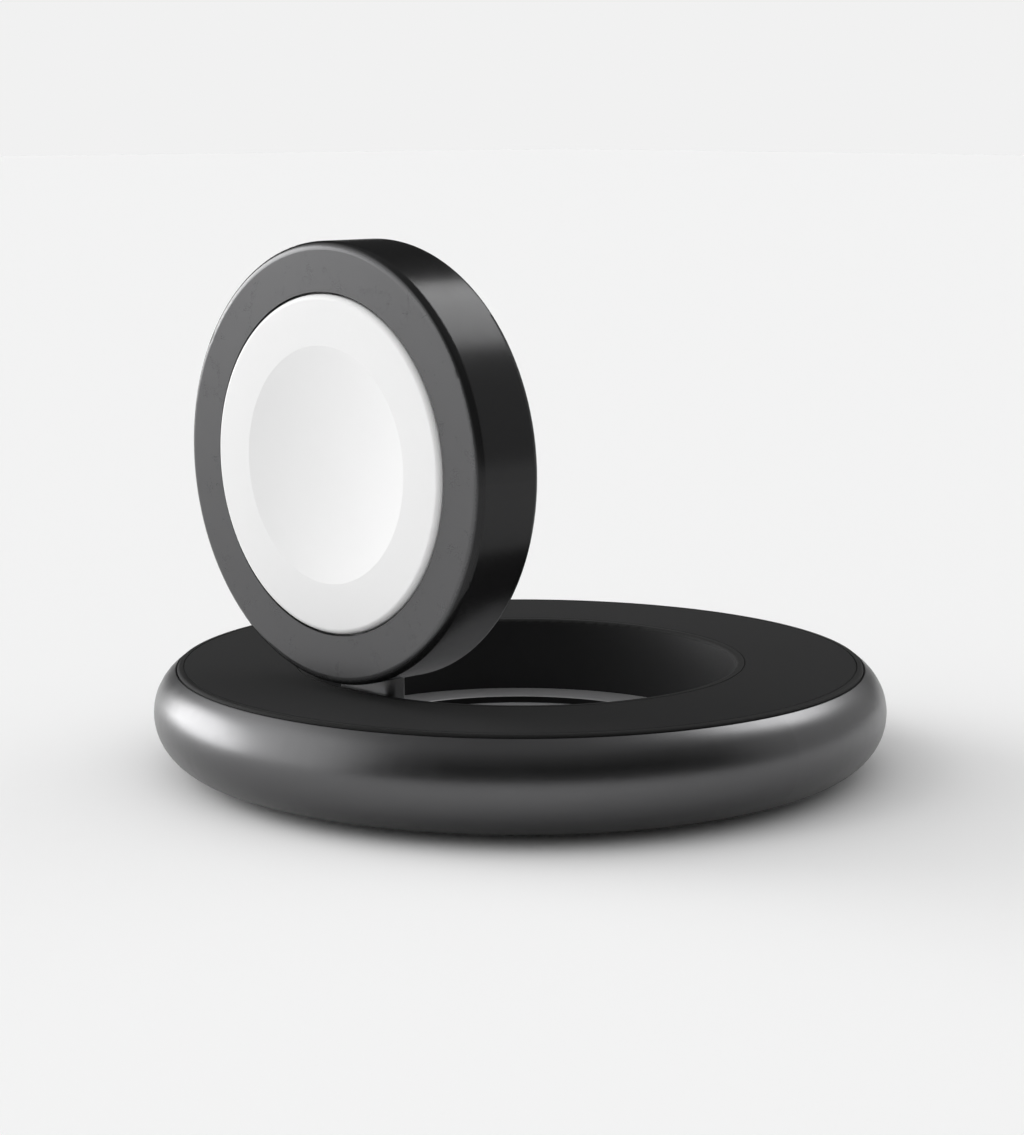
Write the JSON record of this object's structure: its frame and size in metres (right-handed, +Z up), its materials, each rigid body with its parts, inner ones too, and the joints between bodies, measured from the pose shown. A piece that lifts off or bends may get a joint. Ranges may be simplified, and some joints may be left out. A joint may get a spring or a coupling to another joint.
{
  "type": "folding watch charging stand",
  "caption": "Low ring-shaped stand with a round well and a hinged charging puck that stands up beside the well or folds down flush into it.",
  "frame": {"origin": "centre of the base on the surface it stands on", "axes": "+Z up; the charging face looks along -Y; the hinge pin runs along X; the power inlet is at +Y"},
  "size_m": [0.068, 0.0676, 0.0492],
  "materials": {
    "dark_aluminium": "satin anodised",
    "puck_aluminium": "satin anodised",
    "dish_aluminium": "satin anodised",
    "cover_plastic": "satin",
    "soft_pad": "matt",
    "bottom_plastic": "fine matt texture",
    "back_plastic": "satin",
    "foot_rubber": "matt",
    "cap_plastic": "fine satin white",
    "screw_steel": "plated",
    "weight_steel": "rolled",
    "inlet_steel": "folded sheet",
    "pin_steel": "ground",
    "washer_steel": "stamped",
    "arm_steel": "dark satin coat",
    "bracket_zinc": "die cast",
    "yoke_steel": "stamped",
    "magnet_nickel": "nickel plated",
    "coil_copper": "enamelled wire",
    "ferrite": "sintered",
    "board_laminate": "solder mask",
    "chip_plastic": "moulded",
    "capacitor_ceramic": "ceramic",
    "socket_plastic": "moulded",
    "plug_plastic": "moulded",
    "inlet_plastic": "moulded",
    "carrier_plastic": "moulded",
    "lead_jacket": "extruded"
  },
  "bodies": {
    "base": {"base_shell": "dark_aluminium", "top_cover": "cover_plastic", "top_pad": "soft_pad", "well_dish": "dish_aluminium", "bottom_cover": "bottom_plastic", "foot_ring": "foot_rubber", "base_screws": "screw_steel", "steel_weights": "weight_steel", "main_board": "board_laminate", "board_screws": "screw_steel", "inlet_shell": "inlet_steel", "inlet_tongue": "inlet_plastic", "driver_chip": "chip_plastic", "power_coil": "ferrite", "board_capacitors": "capacitor_ceramic", "lead_socket": "socket_plastic", "lead_plug": "plug_plastic", "base_lead": "lead_jacket", "hinge_bracket": "bracket_zinc", "hinge_screws": "screw_steel", "hinge_pin": "pin_steel", "friction_washers": "washer_steel"},
    "puck": {"hinge_arm": "arm_steel", "arm_screws": "screw_steel", "arm_lead": "lead_jacket", "puck_shell": "puck_aluminium", "puck_back": "back_plastic", "charge_cap": "cap_plastic", "charge_coil": "coil_copper", "ferrite_core": "ferrite", "centre_magnet": "magnet_nickel", "magnet_yoke": "yoke_steel", "module_carrier": "carrier_plastic", "carrier_screws": "screw_steel", "puck_board": "board_laminate", "puck_chip": "chip_plastic", "tuning_capacitors": "capacitor_ceramic"}
  },
  "joints": [
    {"name": "puck_fold", "type": "hinge", "parent": "base", "child": "puck", "pos_m": [0, -0.0218, 0.0081], "axis": [-1, 0, 0], "range_deg": [0, 90]}
  ]
}
